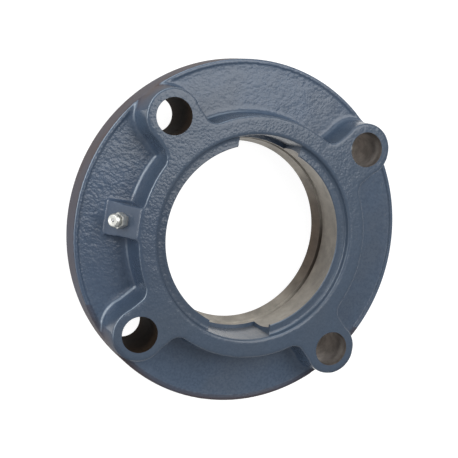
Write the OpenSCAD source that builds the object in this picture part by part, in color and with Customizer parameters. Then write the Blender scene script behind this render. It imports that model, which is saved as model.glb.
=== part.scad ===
// Round four-bolt flanged housing for a 100 mm spherical outside insert bearing.
// Origin: centre of the machined mounting face. +Z runs along the bore to the front,
// +Y points to 12 o'clock and the grease nipple sits at 9 o'clock, on -X.

/* [Flange] */
// Distance from the bolt circle to the flange edge
flange_edge = 14.6; // [14:0.1:18]
// Height of the cast floor above the mounting face
floor_z = 13.8; // [11:0.1:18]
// Casting draft of the flange edge, degrees
rim_draft = 2; // [0.5:0.5:4]
// Width of the raised bead that runs round the flange edge
bead_w = 2.4; // [1.5:0.1:4]
// Height of the bead above the cast floor
bead_h = 0.7; // [0.4:0.1:1.5]
// Rounding of the outer edge of the bead
bead_round = 1.1; // [0.5:0.1:1.3]
// How far the boss walls stand inside the flange edge
rim_step = 0.35; // [0.2:0.05:0.8]

/* [Centring spigot] */
// Radius of the centring spigot on the back
spigot_r = 62.5; // [60:0.5:66]
// Height of the spigot behind the mounting face
spigot_h = 12; // [8:0.5:16]
// Radius of the relief inside the spigot
relief_r = 54.5; // [53:0.5:57]
// Chamfer on the outer edge of the spigot
spigot_chamfer = 1; // [0.5:0.1:2]

/* [Raised ring and bolt bosses] */
// Height of the front faces above the mounting face
top_z = 31; // [26:0.5:36]
// Radius of the ring at the front, before rounding
ring_r = 61.2; // [58:0.1:64]
// Radius of the circle through the bolt holes
bolt_circle_r = 75; // [72:0.5:78]
// Number of bolt bosses
boss_count = 4; // [3:1:4]
// Radius of a boss at the front, before rounding
boss_r = 13.5; // [12:0.1:14]
// How much narrower each side of an arm is than its boss
arm_inset = 0.5; // [0.2:0.05:2]
// Radius of a bolt hole
bolt_hole_r = 9; // [7:0.1:10]
// Casting draft of the raised walls, degrees
wall_draft = 3; // [1:0.5:8]
// Rounding of the front edges of the ring and the bosses
edge_round = 2; // [1:0.1:3]
// Rounding of the front edges of the arms
arm_round = 1.8; // [1:0.1:2.8]
// Fillet between the ring or a boss and the cast floor
root_fillet = 3; // [1:0.1:4]
// Fillet between an arm and the cast floor
arm_fillet = 3.4; // [1:0.1:4]

/* [Bearing seat] */
// Radius of the spherical seat
seat_r = 50; // [49:0.1:51]
// Height of the seat centre above the mounting face
seat_z = 13; // [11:0.5:15]
// Front end of the machined seat
seat_front_z = 25.7; // [23:0.1:27]
// Rear end of the seat, behind the mounting face
seat_rear_z = -3; // [-5:0.1:-1]
// Radius of the front lip of the bore
lip_r = 46.9; // [46:0.1:47.2]
// Height of the face of the lip above the mounting face
lip_z = 27.7; // [26.5:0.1:29]
// Radius of the recess in front of the lip, at its floor
recess_r = 51.8; // [51:0.1:54]
// Draft of the recess wall, degrees
recess_draft = 6; // [1:1:10]
// Rounding of the front edge of the recess
recess_round = 0.8; // [0.4:0.1:1.5]

/* [Loading slots and grease groove] */
// Width of the two slots that let the bearing in
slot_w = 34; // [26:0.5:40]
// Height of the slot ends above the mounting face
slot_end_z = 7.6; // [6.9:0.1:12]
// Height of the middle of the grease groove
groove_z = 5; // [4.5:0.1:5.2]
// Width of the grease groove
groove_w = 2.6; // [1:0.1:3]
// Depth of the grease groove below the seat
groove_depth = 1.3; // [0.5:0.1:2]

/* [Nipple pad and grease duct] */
// Slope of the nipple pad from the flange plane, degrees
pad_angle = 52; // [45:1:60]
// Width of the pad at the front
pad_w = 15.4; // [13:0.1:18]
// How far the top edge of the pad stands outside the ring
pad_reach = 0.2; // [0.1:0.1:3]
// Height of the nipple centre on the pad, above the mounting face
nipple_z = 22.4; // [20:0.1:25]
// Radius of the grease duct from the nipple to the seat
duct_r = 2.5; // [1.5:0.1:3]

/* [Grease nipple] */
// Radius of the threaded shank
shank_r = 3; // [2.5:0.1:3.5]
// Length of the shank
shank_l = 5.5; // [4:0.5:7]
// Chamfer at the end of the shank
shank_chamfer = 0.4; // [0.2:0.1:0.8]
// Width of the hexagon across its flats
hex_w = 7; // [7:0.5:9]
// Height of the hexagon
hex_h = 4.2; // [3:0.1:5]
// Height of the chamfer on the hexagon's corners
hex_chamfer = 0.6; // [0.2:0.1:1]
// Turn of the hexagon about the nipple axis, degrees
hex_turn = -24; // [-30:1:30]
// Radius of the neck under the head
neck_r = 2.3; // [2.2:0.1:2.5]
// Length of the neck
neck_l = 0.9; // [0.7:0.1:2]
// Widest radius of the head
head_r = 3.4; // [3:0.1:3.6]
// Height of the cone under the head, which a coupler grips
grip_h = 0.5; // [0.4:0.1:1]
// Height of the round band at the widest part of the head
band_h = 1.1; // [0.5:0.1:1.5]
// Radius of the flat tip of the head
tip_r = 2.5; // [2:0.1:3]
// Height of the whole nipple above its pad
nipple_h = 7.6; // [7.2:0.1:9]
// Radius of the bore inside the nipple
gun_bore_r = 1.35; // [1.3:0.05:1.5]
// Radius of the mouth that the check ball closes
mouth_r = 0.85; // [0.75:0.05:0.95]
// Radius of the check ball
ball_r = 1.2; // [1.15:0.05:1.25]
// Radius of the spring wire
wire_r = 0.16; // [0.1:0.01:0.2]
// Number of turns in the check spring
spring_turns = 8; // [5:1:12]

/* [Fits] */
// Radial gap between the shank and its tapped hole
thread_gap = 0.03; // [0.01:0.01:0.1]
// Gap between the spring and the bore round it
spring_gap = 0.15; // [0.1:0.05:0.2]
// Gap between pieces that touch at rest
touch_gap = 0.02; // [0.01:0.01:0.05]

/* [Hidden] */

// Round surfaces
$fn = 96;
// Straight pieces in a quarter turn of edge rounding
round_steps = 5;
// How far cutters and joined pieces run past each other
over = 1;
// How far the floor fillets run into the floor
sink = 0.045;
// How far the front edges run past the front face before it is faced off
proud = 0.04;

flange_r = bolt_circle_r + flange_edge;
bead_top_z = floor_z + bead_h;
pad_top_r = ring_r + pad_reach;
nipple_x = -(pad_top_r + (top_z - nipple_z) / tan(pad_angle));
// The duct runs from the nipple to inside the seat
duct_l = (-nipple_x - lip_r) / sin(pad_angle);
hex_corner_r = hex_w / 2 / cos(30);
// Length of the nipple's mouth
mouth_l = 0.35;
// Half angle of the cone that the ball closes
seat_cone = 45;
// Height of the ball's centre, where it rests on the cone
ball_x = nipple_h - mouth_l - (ball_r / sin(seat_cone) - mouth_r) - touch_gap;
// Thickness and opening radius of the crimped end that holds the spring
crimp_l = 0.6;
crimp_r = 0.8;
// Radius of the coil, to the middle of its wire
spring_r = gun_bore_r - wire_r - spring_gap;
spring_start = -shank_l + crimp_l + touch_gap;
spring_end = ball_x - sqrt(ball_r * ball_r - pow(spring_r - wire_r, 2)) - touch_gap;
// Corners of the wire's section, and slices in a turn
wire_corners = 10;
turn_slices = 12;

// Points of an arc from angle a0 to a1
function arc(centre, r, a0, a1, steps = round_steps) =
    [for (i = [0 : steps]) let (a = a0 + (a1 - a0) * i / steps)
        [centre[0] + r * cos(a), centre[1] + r * sin(a)]];

// Outer side of a cast wall from the floor fillet up to the rounded front edge.
// half is the half width at the front, before rounding.
function wall_side(half, fillet, rounding) =
    let (d = wall_draft,
         foot = half + (top_z - floor_z) * tan(d),
         fillet_x = foot + fillet * (1 - sin(d)) / cos(d),
         edge_x = half - rounding * (1 - sin(d)) / cos(d))
    concat(
        [[fillet_x, floor_z - over]],
        arc([fillet_x, floor_z + fillet - sink], fillet, 270, 180 + d),
        arc([edge_x, top_z + proud - rounding], rounding, d, 90));

function mirrored(points) =
    [for (i = [len(points) - 1 : -1 : 0]) [-points[i][0], points[i][1]]];

// Section of the flange with its spigot and bead
module flange_section() {
    rim_r = flange_r - bead_top_z * tan(rim_draft);
    polygon(concat(
        [[0, -spigot_h],
         [spigot_r - spigot_chamfer, -spigot_h],
         [spigot_r, -spigot_h + spigot_chamfer],
         [spigot_r, 0],
         [flange_r, 0]],
        arc([rim_r - bead_round, bead_top_z - bead_round], bead_round, rim_draft, 90),
        [[rim_r - bead_w + bead_h, bead_top_z],
         [rim_r - bead_w, floor_z],
         [0, floor_z]]));
}

// Space behind the faced front and inside the flange edge
module front_envelope() {
    r = flange_r - rim_step;
    cylinder(r1 = r, r2 = r - top_z * tan(rim_draft), h = top_z);
}

// Round plateau with a filleted foot and a rounded front edge
module plateau(r) {
    rotate_extrude()
        polygon(concat([[0, floor_z - over]],
                       wall_side(r, root_fillet, edge_round),
                       [[0, top_z + proud]]));
}

// Straight arm from the ring out to the middle of a boss
module boss_arm() {
    side = wall_side(boss_r - arm_inset, arm_fillet, arm_round);
    inner = lip_r;
    translate([inner, 0, 0])
        rotate([90, 0, 90])
            linear_extrude(bolt_circle_r - inner)
                polygon(concat(side, mirrored(side)));
}

module at_bosses() {
    for (i = [0 : boss_count - 1])
        rotate(360 / boss_count * (i + 0.5))
            children();
}

// Distance of the pad's slope from the bore axis at height z
function slope_r(z) = pad_top_r + (top_z - z) / tan(pad_angle);

// Half width of the pad at height z
function pad_half(z) = pad_w / 2 + (top_z - z) * tan(wall_draft);

// Wedge that carries the nipple, with drafted sides
module nipple_pad() {
    low_z = floor_z - over;
    high_z = top_z + over;
    intersection() {
        rotate([90, 0, 0])
            linear_extrude(2 * pad_half(low_z) + over, center = true)
                polygon([[-slope_r(low_z), low_z],
                         [-slope_r(high_z), high_z],
                         [-lip_r, high_z],
                         [-lip_r, low_z]]);
        translate([-slope_r(low_z) - over, 0, 0])
            rotate([90, 0, 90])
                linear_extrude(slope_r(low_z) - lip_r + 2 * over)
                    polygon([[-pad_half(low_z), low_z],
                             [pad_half(low_z), low_z],
                             [pad_half(high_z), high_z],
                             [-pad_half(high_z), high_z]]);
    }
}

module cast_body() {
    rotate_extrude() flange_section();
    intersection() {
        front_envelope();
        union() {
            plateau(ring_r);
            at_bosses() {
                translate([bolt_circle_r, 0, 0]) plateau(boss_r);
                boss_arm();
            }
            nipple_pad();
        }
    }
}

// Drafted recess in front of the lip
module front_recess() {
    lean = tan(recess_draft);
    wall_top_r = recess_r + (top_z - lip_z) * lean;
    rotate_extrude()
        polygon(concat(
            [[0, lip_z], [recess_r, lip_z]],
            arc([wall_top_r + recess_round, top_z - recess_round],
                recess_round, 180 - recess_draft, 90),
            [[wall_top_r + recess_round, top_z + over], [0, top_z + over]]));
}

module spherical_seat() {
    intersection() {
        translate([0, 0, seat_z]) sphere(r = seat_r);
        translate([0, 0, seat_rear_z])
            cylinder(r = seat_r + over, h = seat_front_z - seat_rear_z);
    }
}

module loading_slots() {
    intersection() {
        translate([0, 0, slot_end_z]) cylinder(r = recess_r, h = lip_z - slot_end_z + over);
        translate([-slot_w / 2, -recess_r - over, slot_end_z])
            cube([slot_w, 2 * (recess_r + over), lip_z - slot_end_z + over]);
    }
}

// Turned groove that carries grease round the seat
module grease_groove() {
    outer = sqrt(seat_r * seat_r - pow(groove_z - seat_z, 2)) + groove_depth;
    translate([0, 0, groove_z - groove_w / 2])
        difference() {
            cylinder(r = outer, h = groove_w);
            translate([0, 0, -over]) cylinder(r = lip_r - over, h = groove_w + 2 * over);
        }
}

// Moves children to the nipple: its axis becomes +Z and the pad is z = 0
module at_nipple() {
    translate([nipple_x, 0, nipple_z])
        rotate([0, -pad_angle, 0])
            children();
}

module nipple_hole() {
    at_nipple() {
        translate([0, 0, -shank_l - over])
            cylinder(r = shank_r + thread_gap, h = shank_l + 2 * over);
        translate([0, 0, -duct_l]) cylinder(r = duct_r, h = duct_l);
    }
}

module housing() {
    color([0.30, 0.37, 0.45])
        difference() {
            cast_body();
            translate([0, 0, -spigot_h - over]) cylinder(r = lip_r, h = spigot_h + top_z + 2 * over);
            front_recess();
            spherical_seat();
            loading_slots();
            grease_groove();
            translate([0, 0, -spigot_h - over])
                cylinder(r = relief_r, h = spigot_h + over + seat_rear_z);
            at_bosses()
                translate([bolt_circle_r, 0, -over]) cylinder(r = bolt_hole_r, h = top_z + 2 * over);
            nipple_hole();
        }
}

// Outside of the nipple: shank, neck and head
module nipple_turned() {
    head_low = hex_h + neck_l;
    rotate_extrude($fn = 48)
        polygon([[0, -shank_l],
                 [shank_r - shank_chamfer, -shank_l],
                 [shank_r, -shank_l + shank_chamfer],
                 [shank_r, 0],
                 [neck_r, 0],
                 [neck_r, head_low],
                 [head_r, head_low + grip_h],
                 [head_r, head_low + grip_h + band_h],
                 [tip_r, nipple_h],
                 [0, nipple_h]]);
}

module nipple_hexagon() {
    intersection() {
        rotate(hex_turn) cylinder(r = hex_corner_r, h = hex_h, $fn = 6);
        union() {
            cylinder(r = hex_corner_r, h = hex_h - hex_chamfer, $fn = 48);
            translate([0, 0, hex_h - hex_chamfer])
                cylinder(r1 = hex_corner_r, r2 = hex_w / 2, h = hex_chamfer, $fn = 48);
        }
    }
}

module nipple_body() {
    cone_start = nipple_h - mouth_l - (gun_bore_r - mouth_r) / tan(seat_cone);
    color([0.84, 0.84, 0.81])
        at_nipple()
            difference() {
                union() {
                    nipple_turned();
                    nipple_hexagon();
                }
                rotate_extrude($fn = 48)
                    polygon([[0, -shank_l - over],
                             [crimp_r, -shank_l - over],
                             [crimp_r, -shank_l + crimp_l],
                             [gun_bore_r, -shank_l + crimp_l],
                             [gun_bore_r, cone_start],
                             [mouth_r, nipple_h - mouth_l],
                             [mouth_r, nipple_h + over],
                             [0, nipple_h + over]]);
            }
}

module nipple_ball() {
    color([0.62, 0.62, 0.62])
        at_nipple()
            translate([0, 0, ball_x]) sphere(r = ball_r, $fn = 48);
}

// Level slice through a round wire that climbs by one pitch in a turn
function wire_slice(pitch) =
    [for (i = [0 : wire_corners - 1])
        let (t = 360 * i / wire_corners,
             r = spring_r + wire_r * cos(t),
             a = 360 * wire_r * sin(t) / pitch)
        [r * cos(a), r * sin(a)]];

// Check spring, wound from the crimped end up to the ball
module nipple_spring() {
    height = spring_end - spring_start;
    color([0.55, 0.55, 0.56])
        at_nipple()
            translate([0, 0, spring_start])
                linear_extrude(height, twist = -360 * spring_turns,
                               slices = turn_slices * spring_turns, $fn = wire_corners)
                    polygon(wire_slice(height / spring_turns));
}

housing();
nipple_body();
nipple_ball();
nipple_spring();
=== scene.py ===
"""Looks of the flanged bearing housing: painted casting, grease nipple, light and camera."""

import logging
import math
from dataclasses import dataclass
from enum import Enum
from functools import cached_property
from typing import Callable, Iterable, Optional, Sequence, Union

import bpy
from mathutils import Matrix, Vector


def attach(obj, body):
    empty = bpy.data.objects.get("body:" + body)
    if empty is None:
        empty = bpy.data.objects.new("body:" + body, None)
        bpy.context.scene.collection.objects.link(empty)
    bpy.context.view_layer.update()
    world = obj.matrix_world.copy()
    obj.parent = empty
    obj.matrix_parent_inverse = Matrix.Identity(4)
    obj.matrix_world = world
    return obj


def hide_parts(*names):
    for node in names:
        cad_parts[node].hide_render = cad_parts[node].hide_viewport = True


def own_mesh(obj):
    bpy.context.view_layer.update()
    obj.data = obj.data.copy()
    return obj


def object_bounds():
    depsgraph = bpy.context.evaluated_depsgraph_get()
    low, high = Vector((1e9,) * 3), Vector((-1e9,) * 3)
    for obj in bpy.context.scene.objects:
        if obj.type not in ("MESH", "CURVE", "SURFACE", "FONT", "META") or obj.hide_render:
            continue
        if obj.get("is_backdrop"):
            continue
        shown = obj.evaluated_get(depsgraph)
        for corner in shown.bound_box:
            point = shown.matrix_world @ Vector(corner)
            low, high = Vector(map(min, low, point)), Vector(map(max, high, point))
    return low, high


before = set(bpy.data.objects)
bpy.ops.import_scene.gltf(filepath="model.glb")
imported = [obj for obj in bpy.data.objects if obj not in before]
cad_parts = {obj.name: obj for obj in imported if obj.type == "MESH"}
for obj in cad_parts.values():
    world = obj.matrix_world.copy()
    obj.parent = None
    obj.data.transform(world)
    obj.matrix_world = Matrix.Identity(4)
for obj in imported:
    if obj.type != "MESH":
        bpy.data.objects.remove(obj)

CAD_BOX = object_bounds()
SMALL_MM = 0.01
DOUBLES_MM = 0.001
ROUND_ANGLE = math.radians(32)
WIRE_ANGLE = math.radians(40)

Piece = bpy.types.Object
Tree = bpy.types.NodeTree
Node = bpy.types.Node
Point = Sequence[float]
Span = tuple[float, float]
Value = Union[float, str, Sequence[float], Node, bpy.types.NodeSocket]

log = logging.getLogger("housing")


class Surface(Enum):
    """Finishes of the housing's faces, in the order of its material slots."""

    PAINT = 0
    SEAT = 1
    BACK = 2
    HOLE = 3
    GROOVE = 4
    SLOT = 5
    RIM = 6


def metres(value: float) -> float:
    """Millimetres to metres."""
    return value / 1000


def placed(point: Sequence[float]) -> tuple[float, ...]:
    """A point or a span in millimetres as metres."""
    return tuple(metres(v) for v in point)


def linear(hex_colour: str) -> tuple[float, float, float, float]:
    """Turns an sRGB hex value to linear light.

    Args:
        hex_colour: Six hex digits.

    Returns:
        Red, green, blue and an alpha of 1.
    """
    channels = [int(hex_colour[i : i + 2], 16) / 255 for i in (0, 2, 4)]
    bent = [c / 12.92 if c <= 0.04045 else ((c + 0.055) / 1.055) ** 2.4 for c in channels]
    return (*bent, 1.0)


def add_node(
    tree: Tree,
    kind: str,
    inputs: Optional[dict[Union[str, int], Value]] = None,
    **settings: Union[str, float, bool],
) -> Node:
    """Adds a shader node.

    Args:
        tree: The material's or world's node tree.
        kind: Blender's node type, without ShaderNode.
        inputs: Socket name or number to a value, a hex colour, one of a node's outputs or a node, which
            stands for its first output in use.
        **settings: Attributes of the node itself.

    Returns:
        The node.
    """
    made = tree.nodes.new(f"ShaderNode{kind}")
    for name, value in settings.items():
        setattr(made, name, value)
    for name, value in (inputs or {}).items():
        socket = made.inputs[name]
        if isinstance(value, Node):
            value = next(out for out in value.outputs if out.enabled)
        if isinstance(value, bpy.types.NodeSocket):
            tree.links.new(value, socket)
        elif isinstance(value, str):
            socket.default_value = linear(value)
        else:
            socket.default_value = value
    return made


def new_tree(name: str) -> tuple[bpy.types.Material, Tree]:
    """Makes an empty node material.

    Args:
        name: Its name.

    Returns:
        The material and its node tree.
    """
    material = bpy.data.materials.new(name)
    material.use_nodes = True
    material.node_tree.nodes.clear()
    return material, material.node_tree


def activate(obj: Piece) -> Piece:
    """Goes to object mode with only this object selected, and active.

    Args:
        obj: The object.

    Returns:
        The object.
    """
    if bpy.context.object and bpy.context.object.mode != "OBJECT":
        bpy.ops.object.mode_set(mode="OBJECT")
    bpy.ops.object.select_all(action="DESELECT")
    obj.select_set(True)
    bpy.context.view_layer.objects.active = obj
    return obj


def apply_modifier(obj: Piece, kind: str, **settings: object) -> None:
    """Adds a modifier to an object and applies it.

    Args:
        obj: The object.
        kind: Blender's modifier type.
        **settings: The modifier's attributes.
    """
    activate(obj)
    modifier = obj.modifiers.new(kind.title(), kind)
    for name, value in settings.items():
        setattr(modifier, name, value)
    bpy.ops.object.modifier_apply(modifier=modifier.name)


def settle(obj: Piece, name: str) -> Piece:
    """Moves an object's place into its mesh and names it.

    Args:
        obj: The object.
        name: The name of the object and of its mesh.

    Returns:
        The object.
    """
    activate(obj)
    bpy.ops.object.transform_apply(location=True, rotation=True, scale=True)
    obj.name = obj.data.name = name
    return obj


def select_vertices(obj: Piece, test: Callable[[Vector, Vector], bool]) -> None:
    """Enters edit mode with the vertices selected that pass a test.

    Args:
        obj: The object, whose place is in its mesh.
        test: Says whether a vertex is chosen, from its place in millimetres and its normal.
    """
    activate(obj)
    bpy.ops.object.mode_set(mode="EDIT")
    bpy.ops.mesh.select_mode(type="VERT")
    bpy.ops.mesh.select_all(action="DESELECT")
    bpy.ops.object.mode_set(mode="OBJECT")
    for vertex in obj.data.vertices:
        vertex.select = test(vertex.co * 1000, vertex.normal)
    bpy.ops.object.mode_set(mode="EDIT")


def trace(corners: Sequence[Point]) -> Piece:
    """Draws a chain of edges from corner to corner, and stays in edit mode.

    Args:
        corners: The corners in millimetres, in order.

    Returns:
        The piece, which is only edges so far.
    """
    bpy.ops.object.select_all(action="DESELECT")
    bpy.ops.mesh.primitive_plane_add(size=metres(1), location=(0, 0, 0))
    obj = bpy.context.object
    bpy.ops.object.mode_set(mode="EDIT")
    bpy.ops.mesh.select_mode(type="VERT")
    bpy.ops.mesh.select_all(action="SELECT")
    bpy.ops.mesh.merge(type="CENTER")
    place = Vector(corners[0])
    bpy.ops.transform.translate(value=placed(place))
    for corner in corners[1:]:
        step = Vector(corner) - place
        bpy.ops.mesh.extrude_vertices_move(TRANSFORM_OT_translate={"value": placed(step)})
        place += step
    return obj


def turned(name: str, profile: Sequence[Point], steps: int, closed: bool) -> Piece:
    """Turns a profile round the Z axis, as on a lathe.

    Args:
        name: The name of the piece.
        profile: Radius and height of each corner in millimetres, from one end to the other.
        steps: Straight pieces in a turn.
        closed: Whether the last corner joins the first, as on a ring.

    Returns:
        The piece.
    """
    obj = trace([(radius, 0, height) for radius, height in profile])
    if closed:
        bpy.ops.object.mode_set(mode="OBJECT")
        ends = {0, len(obj.data.vertices) - 1}
        for vertex in obj.data.vertices:
            vertex.select = vertex.index in ends
        bpy.ops.object.mode_set(mode="EDIT")
        bpy.ops.mesh.edge_face_add()
    bpy.ops.mesh.select_all(action="SELECT")
    bpy.ops.mesh.spin(steps=steps, angle=math.tau, center=(0, 0, 0), axis=(0, 0, 1))
    close_up(obj)
    return settle(obj, name)


def close_up(obj: Piece) -> None:
    """Merges an object's doubles and points its faces outwards.

    Args:
        obj: The object.
    """
    activate(obj)
    bpy.ops.object.mode_set(mode="EDIT")
    bpy.ops.mesh.select_all(action="SELECT")
    bpy.ops.mesh.remove_doubles(threshold=metres(DOUBLES_MM))
    bpy.ops.mesh.dissolve_degenerate(threshold=metres(DOUBLES_MM / 2))
    bpy.ops.mesh.normals_make_consistent(inside=False)
    bpy.ops.object.mode_set(mode="OBJECT")


def prism(name: str, outline: Sequence[Point], along: Point) -> Piece:
    """Extrudes a flat outline into a solid.

    Args:
        name: The name of the piece.
        outline: The outline's corners in millimetres, in order.
        along: How far the outline is extruded, millimetres.

    Returns:
        The piece.
    """
    obj = trace(outline)
    bpy.ops.mesh.select_all(action="SELECT")
    bpy.ops.mesh.edge_face_add()
    bpy.ops.mesh.extrude_region_move(TRANSFORM_OT_translate={"value": placed(along)})
    close_up(obj)
    return settle(obj, name)


def copy_at(obj: Piece, name: str, matrix: Matrix) -> Piece:
    """Copies a piece with its own mesh to another place.

    Args:
        obj: The piece.
        name: The name of the copy.
        matrix: Where the copy goes, from the piece's own place.

    Returns:
        The copy.
    """
    activate(obj)
    bpy.ops.object.duplicate()
    made = bpy.context.object
    made.matrix_world = matrix
    return settle(made, name)


def join(pieces: Sequence[Piece], name: str) -> Piece:
    """Joins pieces into one object, the first of them.

    Args:
        pieces: The pieces.
        name: The name of what they become.

    Returns:
        The joined piece.
    """
    activate(pieces[0])
    for piece in pieces:
        piece.select_set(True)
    bpy.ops.object.join()
    pieces[0].name = pieces[0].data.name = name
    return pieces[0]


def cut(obj: Piece, cutter: Piece, operation: str = "DIFFERENCE") -> None:
    """Cuts an object with another, which is then removed."""
    apply_modifier(obj, "BOOLEAN", object=cutter, operation=operation, solver="MANIFOLD")
    bpy.data.objects.remove(cutter)


def arc(centre: Point, radius: float, start: float, end: float, steps: int) -> list[Point]:
    """Corners of an arc in a profile.

    Args:
        centre: Radius and height of its centre.
        radius: Its radius.
        start: Angle of its first corner, degrees.
        end: Angle of its last corner, degrees.
        steps: Straight pieces in it.

    Returns:
        The corners.
    """
    angles = [math.radians(start + (end - start) * i / steps) for i in range(steps + 1)]
    return [(centre[0] + radius * math.cos(a), centre[1] + radius * math.sin(a)) for a in angles]


@dataclass(frozen=True)
class PaintedCasting:
    """Enamel brushed thin on sand-cast iron: a half-gloss blue-grey coat with the mould's sand in it.

    It is darker on the raised faces, partly rubbed and partly painted shade, has painted shade by the
    ring's left wall below the nipple, and has painted highlights on the rounded edges that face the
    upper left. The sand's own grain is about 0.3 mm, too fine to show in the render, so it is drawn as
    coarse as it needs to show: pebbles of 1.2 mm and ripples of 2.3 mm. A span says where something
    begins and where it is full, in millimetres.
    """

    name: str = "enamelled_cast_iron"
    paint: str = "4B5A6D"
    thin_paint: str = "545A62"
    deep_paint: str = "3A485A"
    # Darker tone on the raised faces: partly rubbed paint, partly painted shade.
    rubbed_and_shaded_paint: str = "3C4754"
    # Painted shade in the corner by the ring's left wall, below the nipple.
    corner_shade_paint: str = "344257"
    # Painted highlight on the rounded edges that face the upper left.
    edge_highlight_paint: str = "97A5B3"
    rim: str = "494041"
    thin_share: float = 0.35
    deep_share: float = 0.45
    corner_shade_share: float = 0.42
    edge_highlight_share: float = 0.5
    rim_share: float = 0.0
    pebble_mm: float = 1.2
    ripple_mm: float = 2.3
    patch_mm: float = 24.0
    relief_mm: float = 1.9
    raised_span: Span = (16.0, 27.0)
    rim_span: Span = (85.0, 88.8)
    rim_height_span: Span = (31.0, 20.0)
    # Centre and reach of the painted shade by the ring's left wall.
    corner_shade_place: Point = (-68.0, -10.0, 16.0)
    corner_shade_span: Span = (45.0, 18.0)
    pad_place: Point = (-68.5, 0.0, 22.0)
    pad_span: Span = (14.5, 17.0)
    # Which way the painted highlight faces, and where it fades out to the right.
    edge_highlight_way: Point = (-0.85, 0.53, 0.0)
    edge_highlight_span: Span = (15.0, 35.0)
    coarse_place: Point = (-76.0, 12.0, 13.8)
    coarse_span: Span = (42.0, 16.0)
    coarse_way: Point = (-0.55, 0.83, 0.0)
    spread_span: Span = (-35.0, 55.0)
    roughness: float = 0.27
    specular: float = 0.5

    def noise(self, tree: Tree, place: Value, size_mm: float) -> Node:
        """A cloudy pattern whose spots have this width in millimetres."""
        inputs = {"Vector": place, "Scale": 1000 / size_mm, "Detail": 2.5, "Roughness": 0.5}
        return add_node(tree, "TexNoise", inputs)

    def raised(self, tree: Tree, place: Value) -> Node:
        """How far a place stands above the flange's floor.

        Args:
            tree: The material's node tree.
            place: Object coordinates.

        Returns:
            The node that gives the share.
        """
        height = add_node(tree, "SeparateXYZ", {"Vector": place}).outputs[2]
        start, full = placed(self.raised_span)
        return add_node(tree, "MapRange", {0: height, 1: start, 2: full, 3: 0.0, 4: 0.55})

    def rim_amount(self, tree: Tree, place: Value, patches: Value) -> Node:
        """How much of the rim's own brown shows, which is most low on it and in patches.

        Args:
            tree: The material's node tree.
            place: Object coordinates.
            patches: The pattern of wide patches.

        Returns:
            The node that gives the share.
        """
        parts = add_node(tree, "SeparateXYZ", {"Vector": place})
        flat = add_node(tree, "CombineXYZ", {"X": parts.outputs[0], "Y": parts.outputs[1]})
        radius = add_node(tree, "VectorMath", {0: flat}, operation="LENGTH")
        start, full = placed(self.rim_span)
        outer = add_node(tree, "MapRange", {0: radius, 1: start, 2: full, 3: 0.0, 4: self.rim_share})
        start, full = placed(self.rim_height_span)
        low = add_node(tree, "MapRange", {0: parts.outputs[2], 1: start, 2: full, 3: 0.3, 4: 1.0})
        dull = add_node(tree, "MapRange", {0: patches, 1: 0.35, 2: 0.6, 3: 0.7, 4: 1.0})
        lower = add_node(tree, "Math", {0: outer, 1: low}, operation="MULTIPLY")
        return add_node(tree, "Math", {0: lower, 1: dull}, operation="MULTIPLY")

    def edge_highlight(self, tree: Tree, place: Value, normal: Value) -> Node:
        """How much painted highlight an edge gets: the rounded ones that face the upper left get it,
        except round the nipple's pad.

        Args:
            tree: The material's node tree.
            place: Object coordinates.
            normal: The surface's direction.

        Returns:
            The node that gives the share.
        """
        upright = add_node(tree, "SeparateXYZ", {"Vector": normal}).outputs[2]
        rounded = add_node(tree, "MapRange", {0: upright, 1: 0.48, 2: 0.66, 3: 0.0, 4: 1.0})
        # Painted highlight: lighter paint where the surface faces the light from the upper left.
        facing = add_node(tree, "VectorMath", {0: normal, 1: self.edge_highlight_way}, operation="DOT_PRODUCT")
        outward = add_node(tree, "MapRange", {0: facing, 1: 0.4, 2: 0.62, 3: 0.0, 4: self.edge_highlight_share})
        pad = placed(self.pad_place)
        apart = add_node(tree, "VectorMath", {0: place, 1: pad}, operation="DISTANCE")
        start, full = placed(self.pad_span)
        beyond = add_node(tree, "MapRange", {0: apart, 1: start, 2: full, 3: 0.0, 4: 1.0})
        across = add_node(tree, "SeparateXYZ", {"Vector": place}).outputs[0]
        start, full = placed(self.edge_highlight_span)
        leftward = add_node(tree, "MapRange", {0: across, 1: start, 2: full, 3: 1.0, 4: 0.15})
        where = add_node(tree, "Math", {0: beyond, 1: leftward}, operation="MULTIPLY")
        line = add_node(tree, "Math", {0: outward, 1: rounded}, operation="MULTIPLY")
        return add_node(tree, "Math", {0: line, 1: where}, operation="MULTIPLY")

    def colour(self, tree: Tree, place: Value, normal: Value) -> Node:
        """The coat, with its thin and deep places, raised faces partly rubbed and partly in painted
        shade, brown rim, painted shade by the ring's left wall and painted highlights on edges.

        Args:
            tree: The material's node tree.
            place: Object coordinates.
            normal: The surface's direction.

        Returns:
            The node that gives the colour.
        """
        patches = self.noise(tree, place, self.patch_mm)
        thin = add_node(tree, "MapRange", {0: patches, 1: 0.46, 2: 0.68, 3: 0.0, 4: self.thin_share})
        grain = self.noise(tree, place, self.pebble_mm)
        deep = add_node(tree, "MapRange", {0: grain, 1: 0.6, 2: 0.36, 3: 0.0, 4: self.deep_share})
        # Painted shade: darker paint by the ring's left wall, where that corner lies in shade.
        shade_centre = placed(self.corner_shade_place)
        shade_distance = add_node(tree, "VectorMath", {0: place, 1: shade_centre}, operation="DISTANCE")
        start, full = placed(self.corner_shade_span)
        corner_shade = add_node(tree, "MapRange", {0: shade_distance, 1: start, 2: full, 3: 0.0, 4: self.corner_shade_share})
        coat: Value = self.paint
        for share, tint in (
            (thin, self.thin_paint),
            (deep, self.deep_paint),
            # Raised faces: partly rubbed, partly painted shade.
            (self.raised(tree, place), self.rubbed_and_shaded_paint),
            (self.rim_amount(tree, place, patches), self.rim),
            # Painted shade by the ring's left wall.
            (corner_shade, self.corner_shade_paint),
            # Painted highlight on the edges that face the upper left.
            (self.edge_highlight(tree, place, normal), self.edge_highlight_paint),
        ):
            coat = add_node(tree, "Mix", {0: share, 6: coat, 7: tint}, data_type="RGBA")
        return coat

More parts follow.
